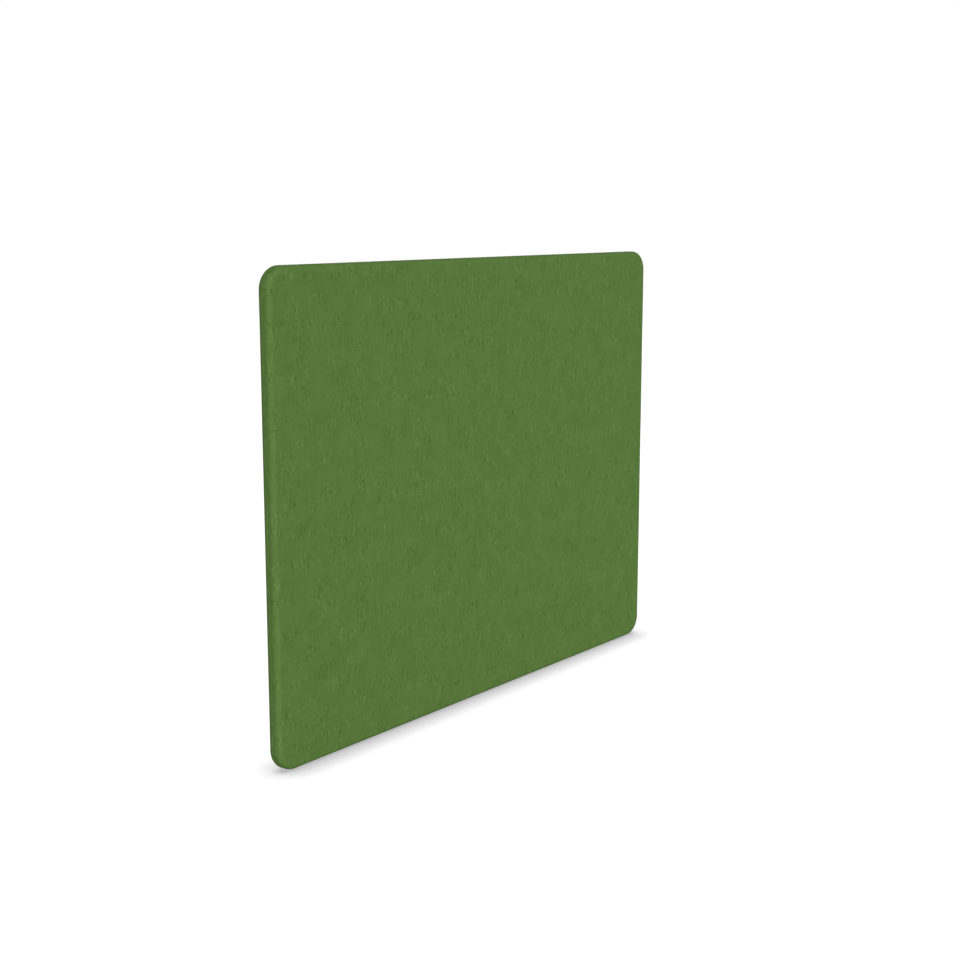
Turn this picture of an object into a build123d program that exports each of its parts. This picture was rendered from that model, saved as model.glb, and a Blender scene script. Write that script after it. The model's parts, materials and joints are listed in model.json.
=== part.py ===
from build123d import *

import os
from math import radians, sqrt, tan

# Fabric-covered acoustic divider screen: a rounded upright panel for the edge of a desk.
#
# Inside out: a half-lapped timber frame with a mullion, a hardboard sound barrier grooved into each bay,
# absorber slabs on both sides of the barrier, thin felt over the whole frame, and a two-part cover that is
# seamed round the narrow edges, stapled under the bottom rail and closed there with an overlap.
#
# Millimetres. X runs along the screen, Y through it with the front at -Y, and Z up. The origin is the
# middle of the underside.

# Outside form, measured on the fabric
screen_width = 800.0
screen_height = 600.0
corner_radius = 28.0  # the four corners of the outline
edge_radius = 7.0  # rounding from each face to the narrow edges

# Layers
cover_thickness = 1.0
felt_thickness = 1.3
layer_gap = 0.1  # slack between one layer and the next
frame_thickness = 15.0

# Timber frame
rail_width = 42.0  # top and bottom rails
stile_width = 42.0  # left and right stiles
mullion_width = 40.0
mullion_tongue = 28.0  # how far the mullion is let into each rail

# Sound barrier boards, held in grooves in the frame
barrier_thickness = 3.0
barrier_bite = 7.0  # how far a board enters its grooves
barrier_side_gap = 0.1
barrier_end_gap = 0.8

# Absorber slabs
absorber_gap = 0.3

# Countersunk screws through the half-laps, driven from the back
screw_shank = 3.5
screw_head = 7.0
screw_head_angle = 90.0  # degrees
screw_stop = 2.0  # timber left beyond the screw's end
screw_gap = 0.05
corner_screw_offset = 8.0  # along and across the lap, from its middle
mullion_screw_pitch = 16.0

# Threaded inserts for the desk brackets, in two pairs
insert_pitch = 32.0
insert_from_end = 150.0  # from the screen's end to the middle of a pair
insert_diameter = 9.0
insert_bore = 5.0
insert_length = 12.0
insert_gap = 0.05
bolt_hole = 7.0  # through the fabric and felt below an insert

# Cover seam and closure
seam_fold = 0.5  # taken off each half's edge where it turns in
closing_gap = 0.1
flap_gap = 0.3
ramp_share = 0.5  # of the flat half of the underside, for the flap's step up to the rail

# Staples through the flap into the bottom rail
staple_pitch = 40.0
staple_crown = 10.0
staple_leg = 8.0
staple_wire = 0.7
staple_thickness = 0.5
staple_margin = 3.0  # least distance from a bolt hole or a stile

# Worked out from the sizes above
frame_inset = cover_thickness + felt_thickness + 2 * layer_gap
screen_thickness = frame_thickness + 2 * frame_inset
frame_width = screen_width - 2 * frame_inset
frame_height = screen_height - 2 * frame_inset
frame_bottom = frame_inset
frame_top = screen_height - frame_inset
mid_height = screen_height / 2
half_frame = frame_thickness / 2
screw_length = frame_thickness - screw_stop
flat_half = screen_thickness / 2 - edge_radius  # half the flat of the narrow edges
closing_length = screen_width - 2 * corner_radius

bay_width = (frame_width - 2 * stile_width - mullion_width) / 2
bay_height = frame_height - 2 * rail_width
bay_offset = (bay_width + mullion_width) / 2
bays = {"left": -bay_offset, "right": bay_offset}
sides = {"front": 1, "back": -1}  # sign of an offset along the normal of Plane.XZ, which points to -Y
keep_side = {"front": Keep.TOP, "back": Keep.BOTTOM}


def slab(inset):
    """The screen's rounded form, shrunk by inset on every side."""
    with BuildPart() as body:
        with BuildSketch(Plane.XZ):
            with Locations((0, mid_height)):
                RectangleRounded(
                    screen_width - 2 * inset, screen_height - 2 * inset, corner_radius - inset
                )
        extrude(amount=screen_thickness / 2 - inset, both=True)
        fillet(body.faces().filter_by(Axis.Y).edges(), edge_radius - inset)
    return body.part


outside = slab(0)
under_cover = slab(cover_thickness)
felt_outside = slab(cover_thickness + layer_gap)
felt_inside = slab(frame_inset - layer_gap)
frame_form = slab(frame_inset)

# Screw places, as (x, z) on the frame's back face
corner_screw_places = [
    (
        side * ((frame_width - stile_width) / 2 + turn * corner_screw_offset),
        mid_height + end * ((frame_height - rail_width) / 2 - turn * corner_screw_offset),
    )
    for side in (-1, 1)
    for end in (-1, 1)
    for turn in (-1, 1)
]
tongue_middle = (bay_height + mullion_tongue) / 2
mullion_screw_places = [
    (side * mullion_screw_pitch / 2, mid_height + end * tongue_middle)
    for side in (-1, 1)
    for end in (-1, 1)
]

# Insert and staple places along the underside
pair_offset = screen_width / 2 - insert_from_end
insert_places = {
    name: [side * pair_offset - insert_pitch / 2, side * pair_offset + insert_pitch / 2]
    for name, side in (("left", -1), ("right", 1))
}
all_inserts = insert_places["left"] + insert_places["right"]
staple_run = frame_width - 2 * stile_width - 2 * staple_margin - staple_crown
staple_count = int(staple_run // staple_pitch) + 1
staple_row = [(i - (staple_count - 1) / 2) * staple_pitch for i in range(staple_count)]
keep_out = bolt_hole / 2 + staple_margin + staple_crown / 2
staple_places = [x for x in staple_row if min(abs(x - i) for i in all_inserts) > keep_out]

# An insert is driven in until its mouth lies below the rail's rounded arris
arris_radius = edge_radius - frame_inset
mouth_reach = max(insert_diameter / 2 + insert_gap - flat_half, 0)
insert_mouth = frame_bottom + arris_radius - sqrt(arris_radius**2 - mouth_reach**2) + layer_gap

# The underside in section, as (y, z): the flap is tacked to the rail, and the back cover passes under it
ramp_run = ramp_share * flat_half
flap_top = frame_bottom - layer_gap
flap_bottom = flap_top - cover_thickness
ramp_slope = ramp_run / flap_bottom


def back_seats(places):
    """Planes on the frame's back face, facing outwards, for screws at (x, z)."""
    return [Plane((x, half_frame, z), z_dir=(0, 1, 0)) for x, z in places]


def under_seats(places, height):
    """Planes at this height that face down, for what enters the underside at x."""
    return [Plane((x, 0, height), z_dir=(0, 0, -1)) for x in places]


def cut_box(width, height, middle, near, far):
    """Removes a block seen from the front as width by height about middle, from y near to y far."""
    with BuildSketch(Plane.XZ.offset(-near)) as face:
        with Locations(middle):
            Rectangle(width, height)
    extrude(face.sketch, amount=near - far, mode=Mode.SUBTRACT)


def cut_barrier_grooves():
    """Removes the grooves in which the two barrier boards sit."""
    depth = barrier_bite + barrier_end_gap
    for middle in bays.values():
        reach = barrier_thickness / 2 + barrier_side_gap
        cut_box(bay_width + 2 * depth, bay_height + 2 * depth, (middle, mid_height), -reach, reach)


def drill_for_screws(countersunk):
    """Drills for every lap screw from the back, with a countersink where the heads lie."""
    with Locations(*back_seats(corner_screw_places + mullion_screw_places)):
        if countersunk:
            CounterSinkHole(
                screw_shank / 2 + screw_gap,
                screw_head / 2 + screw_gap,
                frame_thickness,
                counter_sink_angle=screw_head_angle,
            )
        else:
            Hole(screw_shank / 2 + screw_gap, screw_length + screw_gap)


def make_timber(width, height, middle):
    """Adds a timber of the frame, seen from the front as width by height, rounded where it is outermost."""
    with BuildSketch(Plane.XZ) as face:
        with Locations(middle):
            Rectangle(width, height)
    extrude(face.sketch, amount=half_frame, both=True)
    add(frame_form, mode=Mode.INTERSECT)


def make_rail(height):
    """Adds a rail at this height, with its front half removed at its ends and under the mullion."""
    make_timber(frame_width, rail_width, (0, height))
    for side in (-1, 1):
        cut_box(stile_width, rail_width, (side * (frame_width - stile_width) / 2, height), -half_frame, 0)
    end = 1 if height > mid_height else -1
    cut_box(mullion_width, mullion_tongue, (0, mid_height + end * tongue_middle), -half_frame, 0)
    cut_barrier_grooves()
    drill_for_screws(countersunk=True)


def make_upright(middle, width, tongue):
    """Adds an upright, with the back half of its tongues removed over the rails."""
    make_timber(width, bay_height + 2 * tongue, (middle, mid_height))
    for end in (-1, 1):
        cut_box(width, tongue, (middle, mid_height + end * (bay_height + tongue) / 2), 0, half_frame)
    cut_barrier_grooves()
    drill_for_screws(countersunk=False)


# Timber frame

with BuildPart() as top_rail:
    make_rail(frame_top - rail_width / 2)

with BuildPart() as bottom_rail:
    make_rail(frame_bottom + rail_width / 2)
    with Locations(*under_seats(all_inserts, frame_bottom)):
        Hole(insert_diameter / 2 + insert_gap, insert_mouth - frame_bottom + insert_length + insert_gap)

with BuildPart() as left_stile:
    make_upright((stile_width - frame_width) / 2, stile_width, rail_width)

with BuildPart() as right_stile:
    make_upright((frame_width - stile_width) / 2, stile_width, rail_width)

with BuildPart() as centre_mullion:
    make_upright(0, mullion_width, mullion_tongue)

# Lap screws, each drawn once with its head up and then seated

screw_head_height = (screw_head - screw_shank) / 2 / tan(radians(screw_head_angle / 2))
with BuildPart() as screw:
    with BuildSketch(Plane.XZ):
        with BuildLine():
            Polyline(
                (0, 0),
                (screw_head / 2, 0),
                (screw_shank / 2, -screw_head_height),
                (screw_shank / 2, -screw_length),
                (0, -screw_length),
                close=True,
            )
        make_face()
    revolve(axis=Axis.Z)

with BuildPart() as corner_lap_screws:
    with Locations(*back_seats(corner_screw_places)):
        add(screw.part)

with BuildPart() as mullion_lap_screws:
    with Locations(*back_seats(mullion_screw_places)):
        add(screw.part)

# Threaded inserts, drawn once with the mouth up

with BuildPart() as insert:
    with BuildSketch(Plane.XY):
        Circle(insert_diameter / 2)
        Circle(insert_bore / 2, mode=Mode.SUBTRACT)
    extrude(amount=-insert_length)

with BuildPart() as bracket_inserts_left:
    with Locations(*under_seats(insert_places["left"], insert_mouth)):
        add(insert.part)

with BuildPart() as bracket_inserts_right:
    with Locations(*under_seats(insert_places["right"], insert_mouth)):
        add(insert.part)

# Sound barrier and absorber in each bay

bay_fillings = {}
absorber_thickness = half_frame - barrier_thickness / 2 - absorber_gap
for bay, middle in bays.items():
    with BuildPart() as barrier_board:
        with BuildSketch(Plane.XZ):
            with Locations((middle, mid_height)):
                Rectangle(bay_width + 2 * barrier_bite, bay_height + 2 * barrier_bite)
        extrude(amount=barrier_thickness / 2, both=True)
    bay_fillings[f"barrier_board_{bay}"] = barrier_board
    for side, sign in sides.items():
        with BuildPart() as absorber:
            with BuildSketch(Plane.XZ.offset(sign * barrier_thickness / 2)):
                with Locations((middle, mid_height)):
                    Rectangle(bay_width - 2 * absorber_gap, bay_height - 2 * absorber_gap)
            extrude(amount=sign * absorber_thickness)
        bay_fillings[f"absorber_{side}_{bay}"] = absorber

# Felt, one half from each side, open under the bottom rail and along the cover's seam

felts = {}
for side, sign in sides.items():
    with BuildPart() as felt:
        add(felt_outside)
        add(felt_inside, mode=Mode.SUBTRACT)
        split(bisect_by=Plane.XZ.offset(sign * (cover_thickness + layer_gap)), keep=keep_side[side])
        cut_box(closing_length, 2 * frame_bottom, (0, 0), -flat_half, flat_half)
        with Locations(*under_seats(all_inserts, 0)):
            Hole(bolt_hole / 2, frame_bottom)
    felts[f"{side}_felt"] = felt

# Staples, drawn once with the crown down

with BuildPart() as staple:
    with BuildSketch(Plane.XZ):
        with Locations((0, flap_bottom)):
            Rectangle(staple_crown, staple_leg, align=(Align.CENTER, Align.MIN))
        with Locations((0, flap_bottom + staple_thickness)):
            Rectangle(
                staple_crown - 2 * staple_thickness,
                staple_leg,
                align=(Align.CENTER, Align.MIN),
                mode=Mode.SUBTRACT,
            )
    extrude(amount=staple_wire / 2, both=True)

with BuildPart() as cover_staples:
    with Locations(*[(x, 0, 0) for x in staple_places]):
        add(staple.part)

with bottom_rail:
    add(cover_staples.part, mode=Mode.SUBTRACT)

# Cover, one half from each side, with seam allowances turned in along the narrow edges

cover_halves = {}
for side, sign in sides.items():
    with BuildPart() as hollow:
        add(under_cover)
        split(bisect_by=Plane.XZ.offset(sign * cover_thickness), keep=keep_side[side])
        add(felt_inside)
    with BuildPart() as cover_half:
        add(outside)
        split(bisect_by=Plane.XZ, keep=keep_side[side])
        seam_face = cover_half.faces().filter_by(Plane.XZ).sort_by(Axis.Y)[-1 if sign > 0 else 0]
        chamfer(seam_face.edges(), seam_fold)
        add(hollow.part, mode=Mode.SUBTRACT)
        cut_box(closing_length, 2 * frame_bottom, (0, 0), -flat_half, flat_half)
    cover_halves[side] = cover_half.part

with BuildPart() as front_cover:
    add(cover_halves["front"])
    with BuildSketch(Plane.YZ):
        with BuildLine():
            Polyline(
                (-flat_half, 0),
                (-flat_half, cover_thickness),
                (ramp_run - flat_half, flap_top),
                (flat_half - flap_gap, flap_top),
                (flat_half - flap_gap, flap_bottom),
                (ramp_run - flat_half, flap_bottom),
                close=True,
            )
        make_face()
    extrude(amount=closing_length / 2 - closing_gap, both=True)
    add(cover_staples.part, mode=Mode.SUBTRACT)
    with Locations(*under_seats(all_inserts, 0)):
        Hole(bolt_hole / 2, frame_bottom)

with BuildPart() as back_cover:
    add(cover_halves["back"])
    with BuildSketch(Plane.YZ):
        with BuildLine():
            Polyline(
                (flat_half, 0),
                (flat_half, cover_thickness),
                (closing_gap + ramp_slope * cover_thickness - flat_half, cover_thickness),
                (closing_gap - flat_half, 0),
                close=True,
            )
        make_face()
    extrude(amount=closing_length / 2 - closing_gap, both=True)
    with Locations(*under_seats(all_inserts, 0)):
        Hole(bolt_hole / 2, frame_bottom)

# Every piece under its own name

pieces = {
    "top_rail": top_rail,
    "bottom_rail": bottom_rail,
    "left_stile": left_stile,
    "right_stile": right_stile,
    "centre_mullion": centre_mullion,
    "corner_lap_screws": corner_lap_screws,
    "mullion_lap_screws": mullion_lap_screws,
    "bracket_inserts_left": bracket_inserts_left,
    "bracket_inserts_right": bracket_inserts_right,
    **bay_fillings,
    **felts,
    "cover_staples": cover_staples,
    "front_cover": front_cover,
    "back_cover": back_cover,
}
os.makedirs("parts", exist_ok=True)
for name, piece in pieces.items():
    piece.part.label = name
    export_step(piece.part, f"parts/{name}.step")
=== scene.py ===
import json
from math import atan2, copysign, cos, hypot, pi, radians, sin

import bmesh
import bpy
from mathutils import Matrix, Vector, noise

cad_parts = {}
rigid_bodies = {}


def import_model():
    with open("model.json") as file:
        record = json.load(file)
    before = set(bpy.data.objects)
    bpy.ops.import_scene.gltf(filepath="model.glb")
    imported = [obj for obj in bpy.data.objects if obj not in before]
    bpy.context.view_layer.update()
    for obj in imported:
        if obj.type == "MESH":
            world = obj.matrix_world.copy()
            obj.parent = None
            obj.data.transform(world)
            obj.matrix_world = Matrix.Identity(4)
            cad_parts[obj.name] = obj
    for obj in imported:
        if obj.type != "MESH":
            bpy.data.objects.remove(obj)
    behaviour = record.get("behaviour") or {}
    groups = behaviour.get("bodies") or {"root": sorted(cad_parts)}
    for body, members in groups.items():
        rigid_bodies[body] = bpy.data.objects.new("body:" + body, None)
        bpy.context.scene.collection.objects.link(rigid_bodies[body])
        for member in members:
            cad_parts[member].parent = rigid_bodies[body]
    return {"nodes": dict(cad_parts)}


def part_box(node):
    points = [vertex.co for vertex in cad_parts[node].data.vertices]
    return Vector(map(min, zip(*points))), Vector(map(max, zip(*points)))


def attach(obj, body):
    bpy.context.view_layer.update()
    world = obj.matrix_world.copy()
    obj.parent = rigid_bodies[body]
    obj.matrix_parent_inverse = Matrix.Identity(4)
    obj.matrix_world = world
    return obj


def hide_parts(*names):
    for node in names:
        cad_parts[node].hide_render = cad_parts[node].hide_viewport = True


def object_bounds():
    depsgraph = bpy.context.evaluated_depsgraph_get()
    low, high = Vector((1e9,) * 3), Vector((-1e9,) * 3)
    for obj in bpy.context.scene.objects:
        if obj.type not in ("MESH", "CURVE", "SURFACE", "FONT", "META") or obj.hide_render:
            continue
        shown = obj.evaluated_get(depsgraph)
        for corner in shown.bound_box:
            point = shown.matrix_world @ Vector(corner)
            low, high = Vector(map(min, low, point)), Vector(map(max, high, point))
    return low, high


# Looks of a fabric-covered acoustic divider screen. Metres, in the screen's own frame: X along the screen,
# Y from the front to the back, Z up, with the origin at the middle of the underside.

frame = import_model()
cad_box = [list(corner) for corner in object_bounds()]

mm = 0.001
FRONT, BACK = -1, 1  # sign of Y on each side

# Sizes that the screen is cut and sewn to
corner_radius = 28 * mm
edge_radius = 7 * mm
cloth_thickness = 1 * mm
felt_thickness = 1.3 * mm
felt_gap = 0.1 * mm  # between the cloth and the felt
fold_radius = 0.35 * mm  # where the cloth turns in at the seam
seam_gap = 0.03 * mm  # from the middle plane to each half
lip_depth = 2.35 * mm  # from the outside to the end of a seam allowance
flap_height = 1.4 * mm  # of the stapled flap's lower side above the underside
flap_ramp = 1.5 * mm  # that the flap crosses while it climbs
flap_short = 0.3 * mm  # between the flap's end and the far side of the flat
closing_gap = 0.1 * mm  # between the closing strip and the front cloth
bolt_hole = 7 * mm
bolt_spacing = 32 * mm
bracket_place = 250 * mm  # of each pair of bolts, from the middle of the screen

# Yarn and thread
yarn_pitch = 0.9 * mm
thread_radius = 0.16 * mm
seam_stitch_pitch = 4 * mm
closing_stitch_pitch = 5 * mm
back_cut_place = (1.13, 0.71)  # of the back piece on the bolt of cloth, from the front piece

# How meshes are divided, and what counts as alike when faces and edges are picked
face_frames = 3  # frames of mesh round the face, outside the corners' centres
hole_sides = 28
smooth_angle = radians(50)  # up to which cloth and felt are shaded smooth
weld_reach = 0.3 * mm  # within which the ends of the face's grid join its frames
under_height = 3 * mm  # below which the flat of the narrow edges is the underside
square_on = 0.99  # least cosine of a face that looks straight along an axis
tiny = 0.02 * mm  # within which two places are the same

low, high = (Vector(corner) for corner in cad_box)
half_width = (high.x - low.x) / 2
half_height = (high.z - low.z) / 2
half_thickness = (high.y - low.y) / 2
middle = Vector((0, 0, half_height))
flat_half = half_thickness - edge_radius  # half the flat of the narrow edges
rounding_start = corner_radius - edge_radius  # of the edges' rounding, from the corners' centres
spread_x, spread_z = half_width - corner_radius, half_height - corner_radius  # to the corners' centres
bolt_places = [
    end * (bracket_place + from_bracket)
    for end in (-1, 1)
    for from_bracket in (-bolt_spacing / 2, bolt_spacing / 2)
]


# Modelling

def deselect_all():
    """Leaves edit mode and deselects every object."""
    if bpy.context.mode != "OBJECT":
        bpy.ops.object.mode_set(mode="OBJECT")
    bpy.ops.object.select_all(action="DESELECT")


def make_active(piece):
    """Selects this piece alone."""
    deselect_all()
    piece.select_set(True)
    bpy.context.view_layer.objects.active = piece


def pick_faces(piece, wanted):
    """In edit mode, selects only the faces that the test wants, by their centre and normal."""
    bpy.ops.mesh.select_mode(type="FACE")
    bpy.ops.mesh.select_all(action="DESELECT")
    for face in bmesh.from_edit_mesh(piece.data).faces:
        if wanted(face.calc_center_median(), face.normal):
            face.select_set(True)
    bmesh.update_edit_mesh(piece.data)


def pick_edges(piece, wanted, open_only=False):
    """In edit mode, selects only the edges that the test wants, by their two ends."""
    bpy.ops.mesh.select_mode(type="EDGE")
    bpy.ops.mesh.select_all(action="DESELECT")
    for edge in bmesh.from_edit_mesh(piece.data).edges:
        if (edge.is_boundary or not open_only) and wanted(edge.verts[0].co, edge.verts[1].co):
            edge.select_set(True)
    bmesh.update_edit_mesh(piece.data)


def apply_modifier(piece, kind, **settings):
    """Adds a modifier and applies it."""
    make_active(piece)
    modifier = piece.modifiers.new(kind.lower(), kind)
    for name, value in settings.items():
        setattr(modifier, name, value)
    bpy.ops.object.modifier_apply(modifier=modifier.name)


def dress(piece, material):
    """Gives a piece this material alone."""
    piece.data.materials.clear()
    piece.data.materials.append(material)


def settle(piece, material, node=None):
    """Gives a finished piece its material, hides the node it stands for if one is given, and lets it ride
    on the screen.
    """
    make_active(piece)
    bpy.ops.object.transform_apply(location=True, rotation=True, scale=True)
    dress(piece, material)
    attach(piece, "root")
    if node:
        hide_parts(node)


def is_under(place):
    """Whether a place is on the flat strip under the screen, between the corners."""
    return abs(place.x) < spread_x + tiny and abs(place.y) < flat_half and place.z < under_height


def is_corner(place):
    """Whether a place is close to the centre of one of the screen's corners."""
    return hypot(abs(place.x) - spread_x, abs(place.z - middle.z) - spread_z) < mm


def faces_inwards(place, normal):
    """Whether a face of the narrow edges looks towards the inside of the screen."""
    centre = Vector((
        min(max(place.x, -spread_x), spread_x),
        place.y,
        min(max(place.z, middle.z - spread_z), middle.z + spread_z),
    ))
    straight_in = -0.9
    return normal.dot((place - centre).normalized()) < straight_in


def around_edge(place, side):
    """Where a place lies round the screen's edge.

    Returns how far it is past the corners' centres along X and Z, its distance from them, its distance
    from the middle plane on this side, and how far it is under the screen's outside.
    """
    past = Vector((max(0, abs(place.x) - spread_x), 0, max(0, abs(place.z - middle.z) - spread_z)))
    out, depth = past.length, side * place.y
    if out <= rounding_start:
        under = half_thickness - depth
    elif depth > flat_half:
        under = edge_radius - hypot(out - rounding_start, depth - flat_half)
    else:
        under = corner_radius - out
    return past, out, depth, under


def round_picked_edges(radius, steps):
    """In edit mode, rounds the selected edges."""
    bpy.ops.mesh.bevel(offset=radius, segments=steps, affect="EDGES", clamp_overlap=False)


def rounded_block(name, inset, pitch, corner_steps, edge_steps):
    """The screen's whole outside, inset by this much, left in edit mode with its faces undivided."""
    depth = half_thickness - inset
    deselect_all()
    bpy.ops.mesh.primitive_cube_add(size=2, location=middle)
    piece = bpy.context.object
    piece.name = piece.data.name = name
    piece.scale = (half_width - inset, depth, half_height - inset)
    bpy.ops.object.transform_apply(location=True, rotation=True, scale=True)
    bpy.ops.object.mode_set(mode="EDIT")

    # Round the four corners, and divide the long sides while the faces are open
    pick_edges(piece, lambda start, end: hypot(start.x - end.x, start.z - end.z) < tiny)
    round_picked_edges(corner_radius - inset, corner_steps)
    pick_faces(piece, lambda centre, normal: abs(normal.y) > square_on)
    bpy.ops.mesh.delete(type="ONLY_FACE")
    for axis, spread in ((0, spread_x), (2, spread_z)):
        pick_edges(piece, lambda start, end: abs(abs(start[axis] - end[axis]) - 2 * spread) < tiny)
        bpy.ops.mesh.subdivide(number_cuts=round(2 * spread / pitch) - 1)

    # Close the faces again and round their outlines
    for plane in (-depth, depth):
        pick_edges(piece, lambda start, end: abs(start.y - plane) < tiny and abs(end.y - plane) < tiny)
        bpy.ops.mesh.edge_face_add()
    bpy.ops.mesh.select_all(action="SELECT")
    bpy.ops.mesh.normals_make_consistent(inside=False)
    pick_edges(piece, lambda start, end: abs(start.y - end.y) < tiny and abs(abs(start.y) - depth) < tiny)
    round_picked_edges(edge_radius - inset, edge_steps)
    return piece


def divide_face(piece, side, depth, pitch):
    """Divides the flat face on one side: frames as far as the corners' centres, then an even grid."""
    def is_flat_face(centre, normal):
        return side * normal.y > square_on and side * centre.y > depth - tiny

    def is_long_side(start, end):
        on_face = side * start.y > depth - tiny
        return on_face and abs(start.z - end.z) < mm and abs(start.x - end.x) > mm

    pick_faces(piece, is_flat_face)
    for _ in range(face_frames):
        bpy.ops.mesh.inset(thickness=rounding_start / face_frames)
    bpy.ops.mesh.delete(type="ONLY_FACE")
    pick_edges(piece, lambda start, end: is_corner(start) and is_corner(end), open_only=True)
    bpy.ops.mesh.merge(type="COLLAPSE")
    pick_edges(piece, is_long_side, open_only=True)
    bpy.ops.mesh.bridge_edge_loops(number_cuts=round(2 * spread_z / pitch) - 1, interpolation="LINEAR")
    bpy.ops.mesh.select_all(action="SELECT")
    bpy.ops.mesh.remove_doubles(threshold=weld_reach)


def half_shell(name, side, inset, pitch, corner_steps, edge_steps):
    """The screen's outside on one side, inset by this much: one skin, open along the middle plane.

    The strip under the screen still goes right across, for the caller to cut, and the piece is left in
    edit mode.
    """
    piece = rounded_block(name, inset, pitch, corner_steps, edge_steps)
    bpy.ops.mesh.select_all(action="SELECT")
    bpy.ops.mesh.bisect(plane_co=(0, side * seam_gap, 0), plane_no=(0, 1, 0), threshold=tiny)
    pick_faces(piece, lambda centre, normal: side * centre.y < seam_gap and not is_under(centre))
    bpy.ops.mesh.delete(type="FACE")
    divide_face(piece, side, half_thickness - inset, pitch)
    return piece


def punch_bolt_holes(piece):
    """Cuts the holes that the bracket bolts pass through."""
    cutter_length = 12 * mm
    cutters = []
    deselect_all()
    for x in bolt_places:
        bpy.ops.mesh.primitive_cylinder_add(
            vertices=hole_sides, radius=bolt_hole / 2, depth=cutter_length, location=(x, 0, 0)
        )
        cutters.append(bpy.context.object)
    make_active(cutters[0])
    for cutter in cutters:
        cutter.select_set(True)
    bpy.ops.object.join()
    apply_modifier(piece, "BOOLEAN", operation="DIFFERENCE", solver="EXACT", object=cutters[0])
    bpy.data.objects.remove(cutters[0])


def way_over_edge(out, depth):
    """How far a point is from the corners' centres along the cloth, over the face and round the edge."""
    if out <= rounding_start:
        return out
    if depth > flat_half:
        return rounding_start + edge_radius * atan2(out - rounding_start, depth - flat_half)
    return rounding_start + edge_radius * pi / 2 + flat_half - depth


def way_along_seam(x, z, past):
    """How far a point is along the seam, from the middle of the underside up to the middle of the top."""
    corner_run = corner_radius * pi / 2
    if z < -spread_z:
        return abs(x) if past.x == 0 else spread_x + corner_radius * atan2(past.x, past.z)
    if z <= spread_z:
        return spread_x + corner_run + z + spread_z
    along = spread_x + corner_run + 2 * spread_z + corner_radius * atan2(past.z, past.x)
    return along if past.x else along + spread_x - abs(x)


def lay_flat(piece, side):
    """Gives the piece its flat-cloth coordinates, and where each point lies along and beside the seam.

    Both are UV maps in metres. On the front face the cloth's coordinates are the screen's own X and Z, and
    the back piece is cut from another place. The places beside the seam are returned too.
    """
    far_from_seam = 10 * mm  # added under the screen, where the cloth has no seam
    cut_x, cut_z = (0, 0) if side == FRONT else back_cut_place
    cloth, seam = [], []
    for vertex in piece.data.vertices:
        x, z = vertex.co.x, vertex.co.z - middle.z
        past, out, depth, _ = around_edge(vertex.co, side)
        stretch = way_over_edge(out, depth) / out - 1 if out else 0
        cloth_x = cut_x + x + copysign(past.x, x) * stretch
        cloth_z = cut_z + z + copysign(past.z, z) * stretch
        cloth.append((cloth_x, cloth_z))
        beside = max(0, depth)
        if is_under(vertex.co):
            beside += far_from_seam
        seam.append((way_along_seam(x, z, past), beside))
    for name, places in (("cloth", cloth), ("seam", seam)):
        layer = piece.data.uv_layers.new(name=name)
        for loop in piece.data.loops:
            layer.data[loop.index].uv = places[loop.vertex_index]
    return seam


# Cover

def face_wave(place, seed):
    """How far the taut cloth stands out from the flat: slow waves, with narrow and tall ripples on them."""
    wave_length, wave_height = 85 * mm, 0.14 * mm
    ripple_length, ripple_share = 0.45 * wave_length, 0.4
    ripples_across, ripples_up = 1.6, 0.5
    ripple_seed = seed + 0.3
    wave = noise.noise(Vector((place.x, seed, place.z)) / wave_length)
    rippled = Vector((place.x * ripples_across, ripple_seed, place.z * ripples_up))
    return wave_height * (wave + ripple_share * noise.noise(rippled / ripple_length))


def seam_pull(place, past, along, seed):
    """How far the seam draws the cloth in: a slight pull, and small gathers round a corner.

    The gathers come where the flat cloth is eased in.
    """
    pull_length, pull_height, pull_share = 11 * mm, 0.1 * mm, 0.6
    gather_length, gather_height = 6 * mm, 0.14 * mm
    gather_start = corner_radius / 4  # past which the gathers have their full height
    pull = pull_height * (pull_share + noise.noise(Vector((place.x, seed, place.z)) / pull_length))
    in_corner = min(1, min(past.x, past.z) / gather_start)
    return pull + gather_height * in_corner * (1 - cos(2 * pi * along / gather_length)) / 2


def let_cloth_give(piece, side, seam_places, seed):
    """Moves the outer skin of the taut cloth a little, as it gives. The inner skin stays on the felt."""
    pull_reach, pull_fade = 4.5 * mm, 1.5
    for vertex, (along, beside) in zip(piece.data.vertices, seam_places):
        place = vertex.co
        past, out, depth, under = around_edge(place, side)
        give = max(0, 1 - under / cloth_thickness)
        on_face = min(1, max(0, (depth - flat_half) / edge_radius))
        place.y += side * give * on_face * face_wave(place, seed)
        near_seam = max(0, 1 - beside / pull_reach) ** pull_fade
        if near_seam > 0 and out > rounding_start:
            inwards = past / out * give * near_seam * seam_pull(place, past, along, seed)
            place.x -= copysign(inwards.x, place.x)
            place.z -= copysign(inwards.z, place.z - middle.z)


def add_stapled_flap(cover):
    """Gives the front half the flap that goes up into the closing and is stapled to the rail."""
    def is_flap_line(start, end):
        on_line = abs(start.y + flat_half) < tiny and abs(end.y + flat_half) < tiny and start.z < tiny
        return on_line and max(abs(start.x), abs(end.x)) < spread_x + tiny

    pick_faces(cover, lambda centre, normal: is_under(centre))
    bpy.ops.mesh.delete(type="FACE")
    pick_edges(cover, is_flap_line, open_only=True)
    bpy.ops.mesh.extrude_edges_move(TRANSFORM_OT_translate={"value": (0, flap_ramp, flap_height)})
    flap_run = 2 * flat_half - flap_short - flap_ramp
    bpy.ops.mesh.extrude_edges_move(TRANSFORM_OT_translate={"value": (0, flap_run, 0)})


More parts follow.
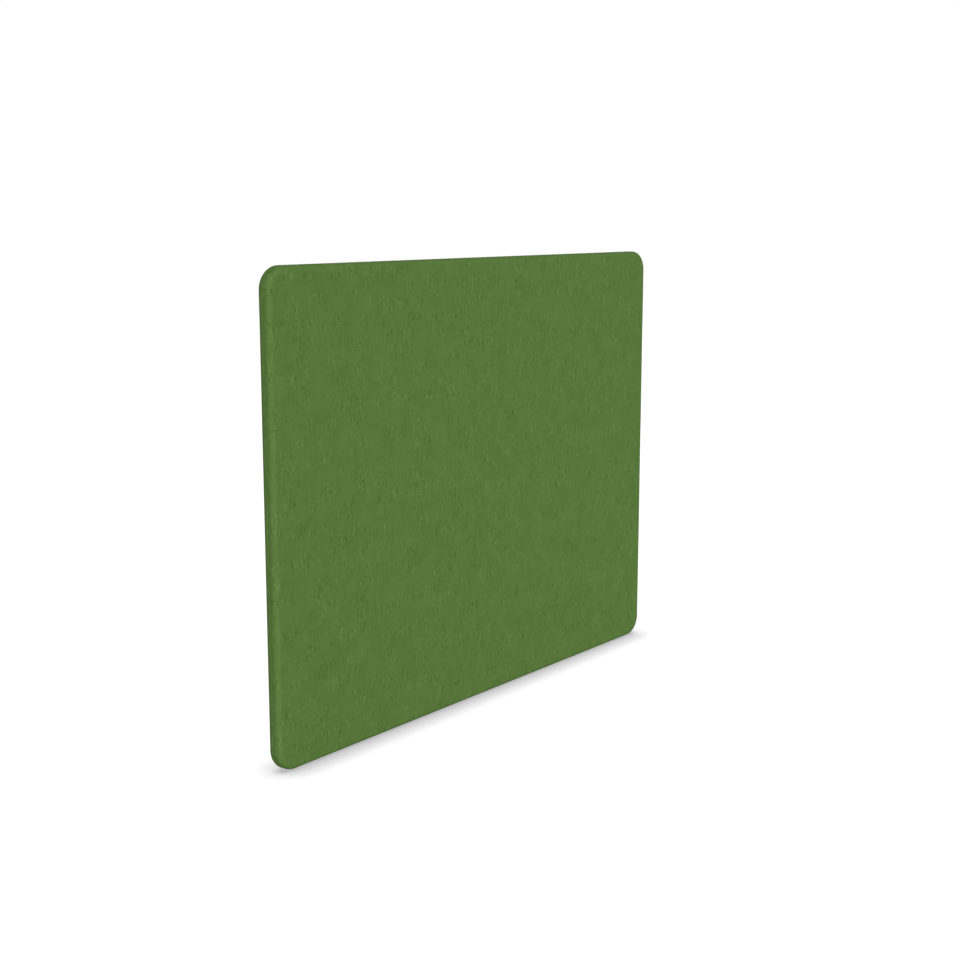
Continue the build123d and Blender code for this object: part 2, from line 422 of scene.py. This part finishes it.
def cut_closing_strip(cover):
    """Cuts the back half's strip, which closes the cover, just short of the front half."""
    closing_line = closing_gap - flat_half
    pick_faces(cover, lambda centre, normal: is_under(centre))
    bpy.ops.mesh.bisect(plane_co=(0, closing_line, 0), plane_no=(0, 1, 0), threshold=tiny)
    pick_faces(cover, lambda centre, normal: is_under(centre) and centre.y < closing_line)
    bpy.ops.mesh.delete(type="FACE")


def lean_closing_edge(cover):
    """Leans the edge of the closing strip along the flap's ramp, once the cloth has its thickness."""
    def is_upper_edge(start, end):
        at_closing = max(start.y, end.y) < closing_gap - flat_half + tiny
        on_top = min(start.z, end.z) > cloth_thickness - tiny
        return at_closing and on_top and is_under(start) and is_under(end)

    pick_edges(cover, is_upper_edge)
    bpy.ops.transform.translate(value=(0, cloth_thickness * flap_ramp / flap_height, 0))


def turn_in_seam(cover, side):
    """Gives the cloth its seam allowance, turned in along the middle plane."""
    turned = seam_gap + cloth_thickness

    def is_turned(centre, normal):
        in_strip = seam_gap < side * centre.y < turned
        return in_strip and not is_under(centre) and faces_inwards(centre, normal)

    bpy.ops.mesh.select_all(action="SELECT")
    bpy.ops.mesh.bisect(plane_co=(0, side * turned, 0), plane_no=(0, 1, 0), threshold=tiny)
    pick_faces(cover, is_turned)
    bpy.ops.mesh.extrude_region_shrink_fatten(
        TRANSFORM_OT_shrink_fatten={"value": lip_depth - cloth_thickness, "use_even_offset": True}
    )


def cover_half(name, side, node, seed):
    """The woven cover's half on one side, turned in at the seam and closed under the screen."""
    fold_steps, sharp_angle = 3, radians(60)  # of the rounded folds, and of the edges that get one
    cover = half_shell(name, side, 0, pitch=6 * mm, corner_steps=22, edge_steps=8)
    if side == FRONT:
        add_stapled_flap(cover)
    else:
        cut_closing_strip(cover)
    apply_modifier(cover, "SOLIDIFY", thickness=cloth_thickness, offset=-1, use_even_offset=True)
    bpy.ops.object.mode_set(mode="EDIT")
    if side == BACK:
        lean_closing_edge(cover)
    turn_in_seam(cover, side)
    apply_modifier(
        cover,
        "BEVEL",
        width=fold_radius,
        segments=fold_steps,
        limit_method="ANGLE",
        angle_limit=sharp_angle,
    )
    punch_bolt_holes(cover)
    let_cloth_give(cover, side, lay_flat(cover, side), seed)
    bpy.ops.object.shade_smooth_by_angle(angle=smooth_angle)
    settle(cover, cover_fabric, node)


# Lining

def lining_half(name, side, node):
    """The felt's half on one side, open along the seam and under the bottom rail."""
    inset = cloth_thickness + felt_gap
    lining = half_shell(name, side, inset, pitch=8 * mm, corner_steps=12, edge_steps=5)
    pick_faces(lining, lambda centre, normal: is_under(centre))
    bpy.ops.mesh.delete(type="FACE")
    bpy.ops.mesh.select_all(action="SELECT")
    bpy.ops.mesh.bisect(
        plane_co=(0, side * inset, 0), plane_no=(0, side, 0), threshold=tiny, clear_inner=True
    )
    apply_modifier(lining, "SOLIDIFY", thickness=felt_thickness, offset=-1, use_even_offset=True)
    punch_bolt_holes(lining)
    lay_flat(lining, side)
    bpy.ops.object.shade_smooth_by_angle(angle=smooth_angle)
    settle(lining, lining_felt, node)


# Materials

surface_outputs = [
    ("Color", "NodeSocketColor"),
    ("Roughness", "NodeSocketFloat"),
    ("Height", "NodeSocketFloat"),
]


def new_group(name, inputs, outputs):
    """An empty shader node group. Its inputs are (name, kind, default), and its outputs (name, kind)."""
    group = bpy.data.node_groups.new(name, "ShaderNodeTree")
    for socket_name, kind, default in inputs:
        socket = group.interface.new_socket(socket_name, in_out="INPUT", socket_type=kind)
        if default is not None:
            socket.default_value = default
    for socket_name, kind in outputs:
        group.interface.new_socket(socket_name, in_out="OUTPUT", socket_type=kind)
    start, end = group.nodes.new("NodeGroupInput"), group.nodes.new("NodeGroupOutput")
    return group, start.outputs, end.inputs


class Tree:
    """Short calls for the nodes that the groups and materials here are made of."""

    def __init__(self, tree):
        self.tree = tree

    def node(self, kind, settings=(), **inputs):
        """A node with these settings, and these values or links on its inputs."""
        made = self.tree.nodes.new(kind)
        for name, value in dict(settings).items():
            setattr(made, name, value)
        for name, value in inputs.items():
            self.put(made.inputs[name.replace("_", " ")], value)
        return made

    def put(self, socket, value):
        """Links another socket to this one, or sets its value."""
        if isinstance(value, bpy.types.NodeSocket):
            self.tree.links.new(value, socket)
        else:
            socket.default_value = value

    def filled(self, node, values):
        """Puts the values on the node's first inputs, in order, and returns its first output."""
        for socket, value in zip(node.inputs, values):
            self.put(socket, value)
        return node.outputs[0]

    def maths(self, operation, *values):
        """A calculation on numbers."""
        return self.filled(self.node("ShaderNodeMath", {"operation": operation}), values)

    def vector_maths(self, operation, *values):
        """A calculation on vectors or colours."""
        return self.filled(self.node("ShaderNodeVectorMath", {"operation": operation}), values)

    def scaled(self, vector, factor):
        """The vector or colour times a factor that varies over the surface."""
        made = self.node("ShaderNodeVectorMath", {"operation": "SCALE"}, Scale=factor)
        return self.filled(made, [vector])

    def remap(self, value, low_in, high_in, low_out, high_out):
        """Carries a value over from the first range to the second, and holds it to the second's ends."""
        return self.filled(self.node("ShaderNodeMapRange"), (value, low_in, high_in, low_out, high_out))

    def between(self, share, first, second):
        """The first value where the share is 0, and the second where it is 1."""
        return self.remap(share, 0.0, 1.0, first, second)

    def limited(self, value, limit):
        """The value, held between minus and plus this limit."""
        return self.remap(value, -limit, limit, -limit, limit)

    def noise(self, vector, scale, detail=2):
        """Noise from 0 to 1, with one scale or one for each axis, in cells per metre."""
        if isinstance(scale, tuple):
            vector, scale = self.vector_maths("MULTIPLY", vector, scale), 1.0
        return self.node("ShaderNodeTexNoise", Vector=vector, Scale=scale, Detail=detail).outputs["Fac"]

    def even_noise(self, vector, scale, detail=2):
        """Noise of this scale, stretched and held to between -1 and 1."""
        usual_low, usual_high = 0.3, 0.7
        return self.remap(self.noise(vector, scale, detail), usual_low, usual_high, -1.0, 1.0)

    def wandering(self, vector, scale, reach):
        """The coordinates, shifted by noise of this scale by up to this reach on each axis."""
        shift = self.node("ShaderNodeTexNoise", Vector=vector, Scale=scale, Detail=2.0).outputs["Color"]
        return self.vector_maths("MULTIPLY_ADD", shift, reach, vector)

    def mix(self, share, first, second, blend="MIX"):
        """Two colours, mixed or blended by the share of the second."""
        share_input, first_input, second_input, colour_output = 0, 6, 7, 2  # where the node has them
        made = self.node("ShaderNodeMix", {"data_type": "RGBA", "blend_type": blend})
        self.put(made.inputs[share_input], share)
        self.put(made.inputs[first_input], first)
        self.put(made.inputs[second_input], second)
        return made.outputs[colour_output]


def weave_group():
    """Plain weave of slubby melange yarns, from flat-cloth coordinates in metres."""
    wander_scale, wander_reach = 45.0, (1.6 * mm, 1.6 * mm, 0)
    slub_threshold = 0.36  # of the flecks' noise, past which they stand out
    slub_strength, fleck_strength = 0.178, 0.03  # of what stands out, and of all flecks
    slub_limit = 0.3  # share by which the palest and darkest slubs differ from the ground
    sunk_share, raised_share = 0.5, 1.5  # of the flecks' strength, where the warp is below or on top
    crowd_scale = (33, 50, 1)
    sparse_noise, crowded_noise = 0.43, 0.57  # past which a place is as sparse or crowded as it gets
    sparse_share, crowded_share = 0.05, 1.95  # of the flecks' strength there
    fibre_scale, fibre_strength = (1400, 18, 1), 0.03
    colour_strengths = (1.3, 1.0, 1.8)  # of the flecks in red, green and blue
    painted_valley_shade, painted_crown_highlight = 0.86, 1.08  # painted shade between yarns and painted highlight on top of them
    valley_roughness, crown_roughness = 0.96, 0.86
    fleck_height_share = 0.3
    group, given, wanted = new_group(
        "woven_melange",
        [
            ("Vector", "NodeSocketVector", None),
            ("Yarn", "NodeSocketColor", (0.1, 0.18, 0.04, 1)),
            ("Yarn pitch", "NodeSocketFloat", yarn_pitch),
        ],
        surface_outputs,
    )
    tree = Tree(group)
    flat, pitch = given["Vector"], given["Yarn pitch"]

    def crown(count):
        """How high a point is on its yarn, where the yarns are counted by this value."""
        return tree.maths("ABSOLUTE", tree.maths("SINE", tree.maths("MULTIPLY", count, pi)))

    def turn(number):
        """1 on an even yarn and -1 on an odd one."""
        return tree.maths("COSINE", tree.maths("MULTIPLY", number, pi))

    # Yarns that pass over and under each other, a little unevenly
    moved = tree.wandering(flat, wander_scale, wander_reach)
    place = tree.node("ShaderNodeSeparateXYZ", Vector=moved).outputs
    across = tree.maths("DIVIDE", place["X"], pitch)
    up = tree.maths("DIVIDE", place["Y"], pitch)
    column, row = tree.maths("FLOOR", across), tree.maths("FLOOR", up)
    warp_on_top = tree.maths("MULTIPLY_ADD", tree.maths("MULTIPLY", turn(column), turn(row)), 0.5, 0.5)
    weft_part = tree.maths("MULTIPLY", crown(up), tree.maths("SUBTRACT", 1.0, warp_on_top))
    weave = tree.maths("MULTIPLY_ADD", crown(across), warp_on_top, weft_part)

    # Flecks along single yarns, lighter and darker than the ground
    column_place, row_place = tree.maths("MULTIPLY", column, pitch), tree.maths("MULTIPLY", row, pitch)
    warp_yarn = tree.node("ShaderNodeCombineXYZ", X=column_place, Y=place["Y"]).outputs[0]
    weft_yarn = tree.node("ShaderNodeCombineXYZ", X=place["X"], Y=row_place).outputs[0]
    fleck = 0.0
    for yarn, scale, share in (
        (warp_yarn, (480, 50, 1), 0.65),
        (warp_yarn, (540, 155, 1), 0.65),
        (weft_yarn, (70, 520, 1), 0.3),
    ):
        fleck = tree.maths("MULTIPLY_ADD", tree.even_noise(yarn, scale, detail=1), share, fleck)

    # The strongest flecks are the slubs, and they lie in loose clusters
    slub = tree.maths("SUBTRACT", fleck, tree.limited(fleck, slub_threshold))
    tone = tree.maths("MULTIPLY", slub, slub_strength)
    tone = tree.maths("MULTIPLY_ADD", fleck, fleck_strength, tone)
    tone = tree.maths("MULTIPLY", tone, tree.between(warp_on_top, sunk_share, raised_share))
    crowd = tree.noise(flat, crowd_scale, detail=1)
    crowd = tree.remap(crowd, sparse_noise, crowded_noise, sparse_share, crowded_share)
    tone = tree.limited(tree.maths("MULTIPLY", tone, crowd), slub_limit)

    # Fine fibres, and a faint cloudiness of the dye in three sizes
    fibres = tree.even_noise(warp_yarn, fibre_scale, detail=1)
    tone = tree.maths("MULTIPLY_ADD", fibres, fibre_strength, tone)
    for scale, strength in ((95.0, 0.028), (45.0, 0.038), (20.0, 0.028)):
        tone = tree.maths("MULTIPLY_ADD", tree.even_noise(flat, scale), strength, tone)

    # The flecks differ more in blue and red than in green, so light ones look greyer
    tint = tree.vector_maths("MULTIPLY_ADD", tone, colour_strengths, (1, 1, 1))
    dyed = tree.vector_maths("MULTIPLY", given["Yarn"], tint)
    # The yarns' colour is darkened between them and lightened on their crowns: painted shade and painted
    # highlight
    tree.put(wanted["Color"], tree.scaled(dyed, tree.between(weave, painted_valley_shade, painted_crown_highlight)))
    tree.put(wanted["Roughness"], tree.between(weave, valley_roughness, crown_roughness))
    tree.put(wanted["Height"], tree.maths("MULTIPLY_ADD", fleck, fleck_height_share, weave))
    return group


def seam_group():
    """Dimples at the stitches of a seam and a painted shade in its fold, from coordinates along and beside
    it.
    """
    uneven_scale, uneven_turn = 110.0, 3.0  # how fast and how far the stitches' spacing drifts
    least_depth, depth_spread, fade_power = 0.4, 0.8, 2.0
    painted_fold_shade, fold_share = 0.9, 0.25  # the painted shade in the fold, and the share of the reach that has it
    group, given, wanted = new_group(
        "sewn_seam",
        [
            ("Vector", "NodeSocketVector", None),
            ("Stitch pitch", "NodeSocketFloat", seam_stitch_pitch),
            ("Reach", "NodeSocketFloat", 3 * mm),
        ],
        [("Height", "NodeSocketFloat"), ("Shade", "NodeSocketFloat")],
    )
    tree = Tree(group)
    place = tree.node("ShaderNodeSeparateXYZ", Vector=given["Vector"]).outputs
    along_seam = {"noise_dimensions": "1D"}
    drift = tree.node("ShaderNodeTexNoise", along_seam, W=place["X"], Scale=uneven_scale, Detail=1.0)
    uneven = drift.outputs["Fac"]
    turns = tree.maths("MULTIPLY", tree.maths("DIVIDE", place["X"], given["Stitch pitch"]), 2 * pi)
    turns = tree.maths("MULTIPLY_ADD", uneven, uneven_turn, turns)
    pulled = tree.maths("MULTIPLY_ADD", tree.maths("COSINE", turns), 0.5, 0.5)
    beside = tree.maths("DIVIDE", place["Y"], given["Reach"])
    near = tree.maths("POWER", tree.maths("MAXIMUM", tree.maths("SUBTRACT", 1.0, beside), 0.0), fade_power)
    depth = tree.maths("MULTIPLY", near, tree.maths("MULTIPLY_ADD", uneven, depth_spread, least_depth))
    tree.put(wanted["Height"], tree.maths("MULTIPLY", tree.maths("MULTIPLY", depth, pulled), -1.0))
    # Painted shade, darkest right at the seam's fold
    tree.put(wanted["Shade"], tree.remap(beside, 0.0, fold_share, painted_fold_shade, 1.0))
    return group


def fibre_group():
    """Matted fibres, for felt, needled wool, hardboard and thread."""
    bend_scale, bend_reach = 120.0, (10 * mm, 10 * mm, 10 * mm)
    faintest_fibre, strongest_fibre = 0.1, 1.2  # of the ridged noise
    clump_scale, clump_share = 60.0, 0.3
    dark_roughness, light_roughness = 0.98, 0.85
    group, given, wanted = new_group(
        "matted_fibre",
        [
            ("Vector", "NodeSocketVector", None),
            ("Light", "NodeSocketColor", (0.8, 0.8, 0.8, 1)),
            ("Dark", "NodeSocketColor", (0.6, 0.6, 0.6, 1)),
            ("Fibre scale", "NodeSocketFloat", 900.0),
        ],
        surface_outputs,
    )
    tree = Tree(group)
    fibres = tree.node(
        "ShaderNodeTexNoise",
        {"noise_type": "RIDGED_MULTIFRACTAL"},
        Vector=tree.wandering(given["Vector"], bend_scale, bend_reach),
        Scale=given["Fibre scale"],
        Detail=3.0,
    )
    fibres = tree.remap(fibres.outputs["Fac"], faintest_fibre, strongest_fibre, 0.0, 1.0)
    clumps = tree.noise(given["Vector"], clump_scale, detail=3)
    share = tree.maths("MULTIPLY", fibres, 1 - clump_share)
    share = tree.maths("MULTIPLY_ADD", clumps, clump_share, share)
    tree.put(wanted["Color"], tree.mix(share, given["Dark"], given["Light"]))
    tree.put(wanted["Roughness"], tree.between(share, dark_roughness, light_roughness))
    tree.put(wanted["Height"], share)
    return group


def timber_group():
    """Planed softwood with its grain along X of the given coordinates."""
    growth_scale, ring_turns = (1.92, 41.6, 41.6), 62.0
    late_start = 0.1  # of a ring's swing from -1 to 1, past which late wood shows
    pore_scale, pore_strength, pore_height = (40, 1600, 1600), 0.25, 0.6
    faint_pore, strong_pore = 0.35, 0.65
    early_roughness, late_roughness = 0.72, 0.55
    group, given, wanted = new_group(
        "planed_softwood",
        [
            ("Vector", "NodeSocketVector", None),
            ("Early wood", "NodeSocketColor", (0.6, 0.4, 0.2, 1)),
            ("Late wood", "NodeSocketColor", (0.4, 0.22, 0.1, 1)),
        ],
        surface_outputs,
    )
    tree = Tree(group)
    growth = tree.noise(given["Vector"], growth_scale)
    rings = tree.maths("SINE", tree.maths("MULTIPLY", growth, ring_turns))
    late = tree.remap(rings, late_start, 1.0, 0.0, 1.0)
    pores = tree.noise(given["Vector"], pore_scale)
    darkened = tree.remap(pores, faint_pore, strong_pore, -0.5, 0.5)
    share = tree.maths("MULTIPLY_ADD", darkened, pore_strength, late)
    tree.put(wanted["Color"], tree.mix(share, given["Early wood"], given["Late wood"]))
    tree.put(wanted["Roughness"], tree.between(share, early_roughness, late_roughness))
    tree.put(wanted["Height"], tree.maths("MULTIPLY_ADD", pores, pore_height, late))
    return group


def metal_group():
    """Zinc plate with fine scratches and cloudy passivation."""
    cloud_scale, scratch_scale = 700.0, (400, 400, 6000)
    thin_cloud, thick_cloud = 0.3, 0.7
    bluish, yellowish = (0.92, 0.96, 1.0, 1), (1.04, 1.0, 0.92, 1)
    bright_roughness, dull_roughness = 0.28, 0.48
    group, given, wanted = new_group(
        "zinc_plate",
        [("Vector", "NodeSocketVector", None), ("Metal", "NodeSocketColor", (0.6, 0.6, 0.6, 1))],
        surface_outputs,
    )
    tree = Tree(group)
    clouds = tree.noise(given["Vector"], cloud_scale, detail=3)
    tint = tree.mix(clouds, bluish, yellowish)
    roughness = tree.remap(clouds, thin_cloud, thick_cloud, bright_roughness, dull_roughness)
    tree.put(wanted["Color"], tree.mix(1.0, given["Metal"], tint, "MULTIPLY"))
    tree.put(wanted["Roughness"], roughness)
    tree.put(wanted["Height"], tree.noise(given["Vector"], scratch_scale))
    return group


def finish_material(name, group, values, bump, vector="Object", turn=None, **sockets):
    """A material whose colour, roughness and bump come from a group, with its own values and plain sockets.

    The values are the group's inputs, and the bump is its depth in metres and its strength.
    """
    material = bpy.data.materials.new(name)
    material.use_nodes = True
    tree = Tree(material.node_tree)
    shader = material.node_tree.nodes["Principled BSDF"]
    if vector == "Object":
        place = tree.node("ShaderNodeTexCoord").outputs["Object"]
    else:
        place = tree.node("ShaderNodeUVMap", {"uv_map": vector}).outputs["UV"]
    if turn:
        place = tree.node("ShaderNodeMapping", Vector=place, Rotation=turn).outputs["Vector"]
    detail = tree.node("ShaderNodeGroup", {"node_tree": group}, Vector=place)
    for socket, value in values.items():
        detail.inputs[socket].default_value = value
    depth, strength = bump
    raised = tree.node("ShaderNodeBump", Distance=depth, Strength=strength, Height=detail.outputs["Height"])
    tree.put(shader.inputs["Base Color"], detail.outputs["Color"])
    tree.put(shader.inputs["Roughness"], detail.outputs["Roughness"])
    tree.put(shader.inputs["Normal"], raised.outputs["Normal"])
    for socket, value in sockets.items():
        shader.inputs[socket.replace("_", " ")].default_value = value
    return material


def add_seam(material, group, pitch, reach, depth):
    """Lets a seam's stitches dimple a cloth that has coordinates along and beside the seam, and darkens its
    fold with painted shade.
    """
    nodes = material.node_tree.nodes
    tree = Tree(material.node_tree)
    colour = nodes["Principled BSDF"].inputs["Base Color"]
    place = tree.node("ShaderNodeUVMap", {"uv_map": "seam"}).outputs["UV"]
    seam = tree.node("ShaderNodeGroup", {"node_tree": group}, Vector=place, Stitch_pitch=pitch, Reach=reach)
    dimples = tree.node("ShaderNodeBump", Distance=depth, Strength=1.0, Height=seam.outputs["Height"])
    tree.put(nodes["Bump"].inputs["Normal"], dimples.outputs["Normal"])
    # The seam's painted shade darkens the cloth's colour beside the fold
    tree.put(colour, tree.scaled(colour.links[0].from_socket, seam.outputs["Shade"]))


def linear(red, green, blue):
    """A colour written as 0 to 255 in sRGB, as the linear colour that a socket takes."""
    def one(value):
        share = value / 255
        return share / 12.92 if share <= 0.04045 else ((share + 0.055) / 1.055) ** 2.4
    return (one(red), one(green), one(blue), 1)


fibre = fibre_group()
timber = timber_group()

cover_fabric = finish_material(
    "cover_fabric",
    weave_group(),
    {"Yarn": linear(90, 120, 60), "Yarn pitch": yarn_pitch},
    bump=(0.22 * mm, 0.5),
    vector="cloth",
    Specular_IOR_Level=0.06,
    Sheen_Weight=0.02,
    Sheen_Roughness=0.4,
    Sheen_Tint=linear(150, 180, 110),
)
add_seam(cover_fabric, seam_group(), seam_stitch_pitch, reach=2.6 * mm, depth=0.12 * mm)
lining_felt = finish_material(
    "lining_felt",
    fibre,
    {"Light": linear(226, 224, 214), "Dark": linear(186, 183, 172), "Fibre scale": 700.0},
    bump=(0.3 * mm, 0.6),
    vector="cloth",
    Specular_IOR_Level=0.2,
    Sheen_Weight=0.2,
)
absorber_wool = finish_material(
    "absorber_wool",
    fibre,
    {"Light": linear(214, 214, 208), "Dark": linear(150, 151, 148), "Fibre scale": 380.0},
    bump=(0.8 * mm, 0.8),
    Specular_IOR_Level=0.2,
    Sheen_Weight=0.25,
)
hardboard = finish_material(
    "hardboard",
    fibre,
    {"Light": linear(122, 88, 58), "Dark": linear(84, 56, 36), "Fibre scale": 1500.0},
    bump=(0.05 * mm, 0.5),
    Specular_IOR_Level=0.4,
)
sewing_thread = finish_material(
    "sewing_thread",
    fibre,
    {"Light": linear(98, 126, 66), "Dark": linear(66, 88, 42), "Fibre scale": 4000.0},
    bump=(0.05 * mm, 0.6),
    Specular_IOR_Level=0.3,
    Sheen_Weight=0.2,
)
timber_values = {"Early wood": linear(214, 178, 128), "Late wood": linear(172, 124, 76)}
timber_bump = (0.08 * mm, 0.5)
upright = (0, radians(90), 0)
timber_across = finish_material("timber_across", timber, timber_values, timber_bump)
timber_upright = finish_material("timber_upright", timber, timber_values, timber_bump, turn=upright)
zinc_steel = finish_material(
    "zinc_steel", metal_group(), {"Metal": linear(196, 196, 192)}, bump=(0.02 * mm, 0.4), Metallic=1.0
)

node_materials = {
    "top_rail": timber_across,
    "bottom_rail": timber_across,
    "left_stile": timber_upright,
    "right_stile": timber_upright,
    "centre_mullion": timber_upright,
    "corner_lap_screws": zinc_steel,
    "mullion_lap_screws": zinc_steel,
    "bracket_inserts_left": zinc_steel,
    "bracket_inserts_right": zinc_steel,
    "cover_staples": zinc_steel,
    "barrier_board_left": hardboard,
    "barrier_board_right": hardboard,
}
for node, material in node_materials.items():
    dress(frame["nodes"][node], material)

lining_half("front_lining", FRONT, "front_felt")
lining_half("back_lining", BACK, "back_felt")
cover_half("front_cloth", FRONT, "front_cover", seed=0.37)
cover_half("back_cloth", BACK, "back_cover", seed=0.71)


# Absorber slabs

def wool_slab(node):
    """A needled fibre slab: soft edges and a faintly lumpy surface, in the space of its node."""
    edge_share = 1 / 5  # of the slab's thickness
    grid_pitch = 12 * mm
    lump_length, lump_depth = 18 * mm, 0.15 * mm
    corner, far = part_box(node)
    size = far - corner
    centre = (corner + far) / 2
    deselect_all()
    bpy.ops.mesh.primitive_cube_add(size=1, location=centre)
    slab = bpy.context.object
    slab.name = slab.data.name = node.replace("absorber", "wool_slab")
    slab.scale = size
    bpy.ops.object.transform_apply(location=True, rotation=True, scale=True)
    bpy.ops.object.mode_set(mode="EDIT")
    bpy.ops.mesh.select_all(action="SELECT")
    bpy.ops.mesh.bevel(offset=size.y * edge_share, segments=2, affect="EDGES")
    for axis, along in ((0, Vector((1, 0, 0))), (2, Vector((0, 0, 1)))):
        count = int(size[axis] / grid_pitch)
        for i in range(1, count):
            bpy.ops.mesh.select_all(action="SELECT")
            bpy.ops.mesh.bisect(plane_co=corner + along * size[axis] * i / count, plane_no=along)
    bpy.ops.object.mode_set(mode="OBJECT")
    for vertex in slab.data.vertices:
        place = vertex.co
        inwards = lump_depth * (1 + noise.noise(place / lump_length))
        place.y += inwards if place.y < centre.y else -inwards
    slab.data.shade_smooth()
    settle(slab, absorber_wool, node)


for bay in ("left", "right"):
    for side_name in ("front", "back"):
        wool_slab(f"absorber_{side_name}_{bay}")


# Stitches that close the cover under the screen

def closing_stitches():
    """Slip stitches that draw the closing strip to the front cloth, one modelled and the rest repeated."""
    thread_sides, bow_steps = 6, 5
    thread_smooth_angle = radians(65)  # wider than the angle between two sides of the thread
    bow, turn = 0.7 * mm, radians(50)  # radius of a stitch's bow, and how far it turns up at each end
    count = int(2 * spread_x / closing_stitch_pitch) - 1
    centre = Vector((
        -closing_stitch_pitch * (count - 1) / 2,
        (closing_gap + fold_radius) / 2 - flat_half,
        bow + thread_radius,
    ))
    deselect_all()
    bpy.ops.mesh.primitive_circle_add(
        vertices=thread_sides,
        radius=thread_radius,
        location=centre - bow * Vector((0, sin(turn), cos(turn))),
        rotation=(pi / 2 - turn, 0, 0),
    )
    stitch = bpy.context.object
    stitch.name = stitch.data.name = "closing_stitches"
    bpy.ops.object.transform_apply(location=True, rotation=True, scale=True)
    bpy.ops.object.mode_set(mode="EDIT")
    bpy.ops.mesh.select_all(action="SELECT")
    bpy.ops.mesh.spin(steps=bow_steps, angle=-2 * turn, center=centre, axis=(1, 0, 0))
    bpy.ops.mesh.select_all(action="SELECT")
    bpy.ops.mesh.fill_holes(sides=thread_sides)
    bpy.ops.mesh.select_all(action="SELECT")
    bpy.ops.mesh.normals_make_consistent(inside=False)
    apply_modifier(
        stitch,
        "ARRAY",
        count=count,
        use_relative_offset=False,
        use_constant_offset=True,
        constant_offset_displace=(closing_stitch_pitch, 0, 0),
    )

    # No stitch lies over a bolt hole
    bpy.ops.object.mode_set(mode="EDIT")
    pick_faces(stitch, lambda centre, normal: min(abs(centre.x - x) for x in bolt_places) < bolt_hole / 2)
    bpy.ops.mesh.select_linked(delimit=set())
    bpy.ops.mesh.delete(type="VERT")
    bpy.ops.object.mode_set(mode="OBJECT")
    bpy.ops.object.shade_smooth_by_angle(angle=thread_smooth_angle)
    settle(stitch, sewing_thread)


closing_stitches()


# Floor, light and camera

def seen_rays(tree):
    """1 for the rays that show the backdrop itself: camera, glossy and transmission rays."""
    path = tree.node("ShaderNodeLightPath").outputs
    seen = tree.maths("MAXIMUM", path["Is Camera Ray"], path["Is Glossy Ray"])
    return tree.maths("MAXIMUM", seen, path["Is Transmission Ray"])


def studio_floor():
    """A pale floor that glows white to the camera, with a painted soft shadow at the screen's foot made
    from ambient occlusion in its glow.
    """
    floor_width, floor_drop = 12, 0.2 * mm
    bounced_light = 0.5
    contact_reach = 50 * mm
    shadow_gain, shadow_lift, darkest = 1.07, 0.045, 0.5  # of the painted shadow: from how open the floor is to how light it glows
    deselect_all()
    bpy.ops.mesh.primitive_plane_add(size=floor_width, location=(0, 0, -floor_drop))
    floor = bpy.context.object
    floor.name = "studio_floor"
    material = bpy.data.materials.new("studio_floor")
    material.use_nodes = True
    nodes = material.node_tree.nodes
    nodes.remove(nodes["Principled BSDF"])
    tree = Tree(material.node_tree)
    matt = tree.node("ShaderNodeBsdfDiffuse", Color=(bounced_light, bounced_light, bounced_light, 1))
    # Ambient occlusion near the screen dims the floor's glow: a painted contact shadow
    shadow = tree.node("ShaderNodeAmbientOcclusion", {"samples": 16}, Distance=contact_reach)
    painted_shadow_lightness = tree.maths("MULTIPLY_ADD", shadow.outputs["AO"], shadow_gain, shadow_lift)
    painted_shadow_lightness = tree.maths("MAXIMUM", painted_shadow_lightness, darkest)
    white = tree.node("ShaderNodeEmission", Color=(1, 1, 1, 1), Strength=painted_shadow_lightness)
    shaders = (seen_rays(tree), matt.outputs[0], white.outputs[0])
    shown = tree.filled(tree.node("ShaderNodeMixShader"), shaders)
    tree.put(nodes["Material Output"].inputs["Surface"], shown)
    dress(floor, material)


def studio_world():
    """Even light from all round, with a white backdrop for the camera."""
    sky_strength = 0.3
    world = bpy.data.worlds.new("studio")
    world.use_nodes = True
    bpy.context.scene.world = world
    tree = Tree(world.node_tree)
    background = world.node_tree.nodes["Background"]
    background.inputs["Color"].default_value = (1, 1, 1, 1)
    tree.put(background.inputs["Strength"], tree.between(seen_rays(tree), sky_strength, 1.0))


def towards(azimuth, elevation):
    """The direction from the screen at this azimuth and elevation in degrees, with azimuth 0 in front of
    the screen.
    """
    round_about, up = radians(azimuth), radians(elevation)
    return Vector((sin(round_about) * cos(up), -cos(round_about) * cos(up), sin(up)))


def lamp(name, azimuth, elevation, strength, spread):
    """A far lamp that shines from this direction, and looks this many degrees wide."""
    deselect_all()
    bpy.ops.object.light_add(type="SUN")
    made = bpy.context.object
    made.name = name
    made.rotation_euler = towards(azimuth, elevation).to_track_quat("Z", "Y").to_euler()
    made.data.energy = strength
    made.data.angle = radians(spread)


def photo_camera(azimuth, elevation, distance, lens, sensor):
    """A camera with this lens and sensor in millimetres, aimed at the middle of the screen."""
    back = towards(azimuth, elevation)
    deselect_all()
    bpy.ops.object.camera_add(location=middle + back * distance)
    camera = bpy.context.object
    camera.rotation_euler = back.to_track_quat("Z", "Y").to_euler()
    camera.data.sensor_width = sensor
    camera.data.lens = lens
    bpy.context.scene.camera = camera


studio_floor()
studio_world()
lamp("key", azimuth=-35, elevation=15, strength=0.86 * pi, spread=30)
lamp("back_fill", azimuth=140, elevation=7, strength=0.6 * pi, spread=30)
photo_camera(azimuth=-52.25, elevation=10.03, distance=2.0735, lens=57.15, sensor=36)
bpy.context.scene.view_settings.view_transform = "Standard"
